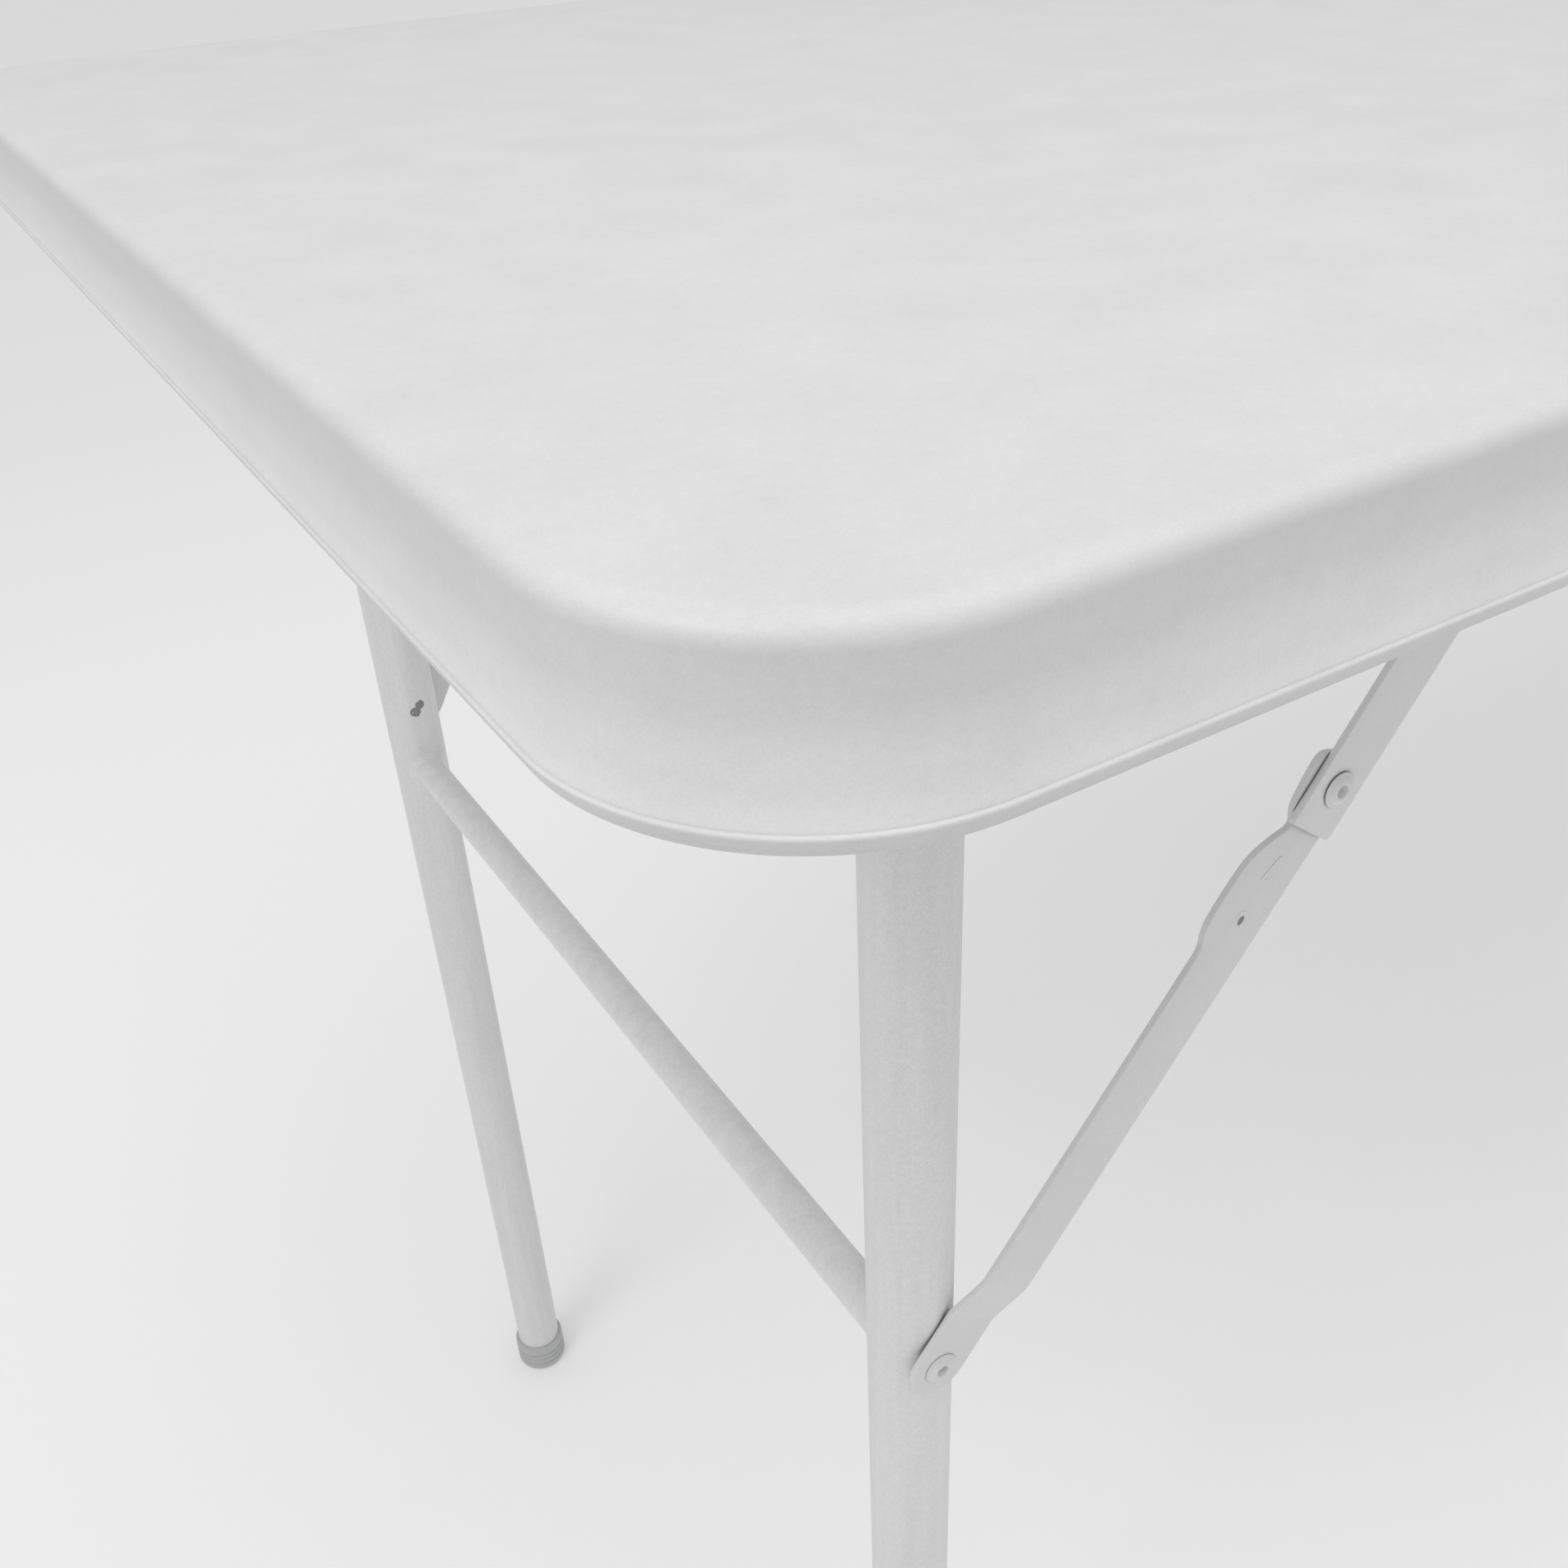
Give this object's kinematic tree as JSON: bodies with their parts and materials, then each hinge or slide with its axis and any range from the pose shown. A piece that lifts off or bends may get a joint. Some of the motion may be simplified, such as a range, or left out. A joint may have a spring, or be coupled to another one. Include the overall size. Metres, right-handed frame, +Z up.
{
  "type": "folding table",
  "caption": "Oblong steel folding table: tray top with soft bent skirt and undercut hem on two hinged tube leg frames, each with crossbar and over-centre folding stays.",
  "frame": {"origin": "on the floor under the middle of the top, table standing open", "axes": "+X along the long side of the top, +Y along the short side, +Z up"},
  "size_m": [1.8, 0.625, 0.76],
  "materials": {
    "top_coat": "satin white powder coat",
    "frame_coat": "satin white powder coat on tube and rails",
    "stay_coat": "satin white powder coat on pressed steel",
    "zinc_fasteners": "bright zinc plate",
    "plain_steel": "turned steel",
    "foot_plastic": "moulded light grey plastic"
  },
  "bodies": {
    "top": {"table_top": "top_coat", "centre_rail": "frame_coat", "hinge_rail_left": "frame_coat", "hinge_rail_right": "frame_coat", "stay_rail_left": "stay_coat", "stay_rail_right": "stay_coat", "hinge_bolts_left": "zinc_fasteners", "hinge_bolts_right": "zinc_fasteners", "hinge_nuts_left": "zinc_fasteners", "hinge_nuts_right": "zinc_fasteners", "stay_top_rivets_left": "stay_coat", "stay_top_rivets_right": "stay_coat", "hinge_bracket_left_near": "frame_coat", "hinge_bracket_left_far": "frame_coat", "hinge_bracket_right_near": "frame_coat", "hinge_bracket_right_far": "frame_coat", "stay_bracket_left_near": "stay_coat", "stay_bracket_left_far": "stay_coat", "stay_bracket_right_near": "stay_coat", "stay_bracket_right_far": "stay_coat"},
    "leg_frame_left": {"crossbar_left": "frame_coat", "leg_bushes_left": "plain_steel", "leg_plugs_left": "foot_plastic", "leg_left_near": "frame_coat", "leg_left_far": "frame_coat", "foot_left_near": "foot_plastic", "foot_left_far": "foot_plastic"},
    "stay_upper_left_near": {"upper_arm_left_near": "stay_coat"},
    "stay_lower_left_near": {"lower_arm_left_near": "stay_coat", "knee_plate_left_near": "stay_coat", "knee_rivet_left_near": "stay_coat", "lock_rivet_left_near": "stay_coat", "leg_rivet_left_near": "stay_coat"},
    "stay_upper_left_far": {"upper_arm_left_far": "stay_coat"},
    "stay_lower_left_far": {"lower_arm_left_far": "stay_coat", "knee_plate_left_far": "stay_coat", "knee_rivet_left_far": "stay_coat", "lock_rivet_left_far": "stay_coat", "leg_rivet_left_far": "stay_coat"},
    "leg_frame_right": {"crossbar_right": "frame_coat", "leg_bushes_right": "plain_steel", "leg_plugs_right": "foot_plastic", "leg_right_near": "frame_coat", "leg_right_far": "frame_coat", "foot_right_near": "foot_plastic", "foot_right_far": "foot_plastic"},
    "stay_upper_right_near": {"upper_arm_right_near": "stay_coat"},
    "stay_lower_right_near": {"lower_arm_right_near": "stay_coat", "knee_plate_right_near": "stay_coat", "knee_rivet_right_near": "stay_coat", "lock_rivet_right_near": "stay_coat", "leg_rivet_right_near": "stay_coat"},
    "stay_upper_right_far": {"upper_arm_right_far": "stay_coat"},
    "stay_lower_right_far": {"lower_arm_right_far": "stay_coat", "knee_plate_right_far": "stay_coat", "knee_rivet_right_far": "stay_coat", "lock_rivet_right_far": "stay_coat", "leg_rivet_right_far": "stay_coat"}
  },
  "joints": [
    {"name": "leg_fold_left", "type": "hinge", "parent": "top", "child": "leg_frame_left", "pos_m": [-0.79, 0, 0.7196], "axis": [0, -1, 0], "range_deg": [0, 90]},
    {"name": "stay_top_left_near", "type": "hinge", "parent": "top", "child": "stay_upper_left_near", "pos_m": [-0.5781, -0.202, 0.733], "axis": [0, 1, 0], "range_deg": [0, 52.95]},
    {"name": "knee_left_near", "type": "hinge", "parent": "stay_upper_left_near", "child": "stay_lower_left_near", "pos_m": [-0.66778, -0.202, 0.61422], "axis": [0, -1, 0], "range_deg": [0, 177.61]},
    {"name": "stay_top_left_far", "type": "hinge", "parent": "top", "child": "stay_upper_left_far", "pos_m": [-0.5781, 0.202, 0.733], "axis": [0, 1, 0], "range_deg": [0, 52.95]},
    {"name": "knee_left_far", "type": "hinge", "parent": "stay_upper_left_far", "child": "stay_lower_left_far", "pos_m": [-0.66778, 0.202, 0.61422], "axis": [0, -1, 0], "range_deg": [0, 177.61]},
    {"name": "leg_fold_right", "type": "hinge", "parent": "top", "child": "leg_frame_right", "pos_m": [0.79, 0, 0.7196], "axis": [0, 1, 0], "range_deg": [0, 90]},
    {"name": "stay_top_right_near", "type": "hinge", "parent": "top", "child": "stay_upper_right_near", "pos_m": [0.5781, -0.202, 0.733], "axis": [0, -1, 0], "range_deg": [0, 52.95]},
    {"name": "knee_right_near", "type": "hinge", "parent": "stay_upper_right_near", "child": "stay_lower_right_near", "pos_m": [0.66778, -0.202, 0.61422], "axis": [0, 1, 0], "range_deg": [0, 177.61]},
    {"name": "stay_top_right_far", "type": "hinge", "parent": "top", "child": "stay_upper_right_far", "pos_m": [0.5781, 0.202, 0.733], "axis": [0, -1, 0], "range_deg": [0, 52.95]},
    {"name": "knee_right_far", "type": "hinge", "parent": "stay_upper_right_far", "child": "stay_lower_right_far", "pos_m": [0.66778, 0.202, 0.61422], "axis": [0, 1, 0], "range_deg": [0, 177.61]}
  ],
  "couplings": [
    {"joint": "stay_top_left_near", "follows": "leg_fold_left", "ratio": 0.5883},
    {"joint": "knee_left_near", "follows": "leg_fold_left", "ratio": 1.9734},
    {"joint": "stay_top_left_far", "follows": "leg_fold_left", "ratio": 0.5883},
    {"joint": "knee_left_far", "follows": "leg_fold_left", "ratio": 1.9734},
    {"joint": "stay_top_right_near", "follows": "leg_fold_right", "ratio": 0.5883},
    {"joint": "knee_right_near", "follows": "leg_fold_right", "ratio": 1.9734},
    {"joint": "stay_top_right_far", "follows": "leg_fold_right", "ratio": 0.5883},
    {"joint": "knee_right_far", "follows": "leg_fold_right", "ratio": 1.9734}
  ]
}
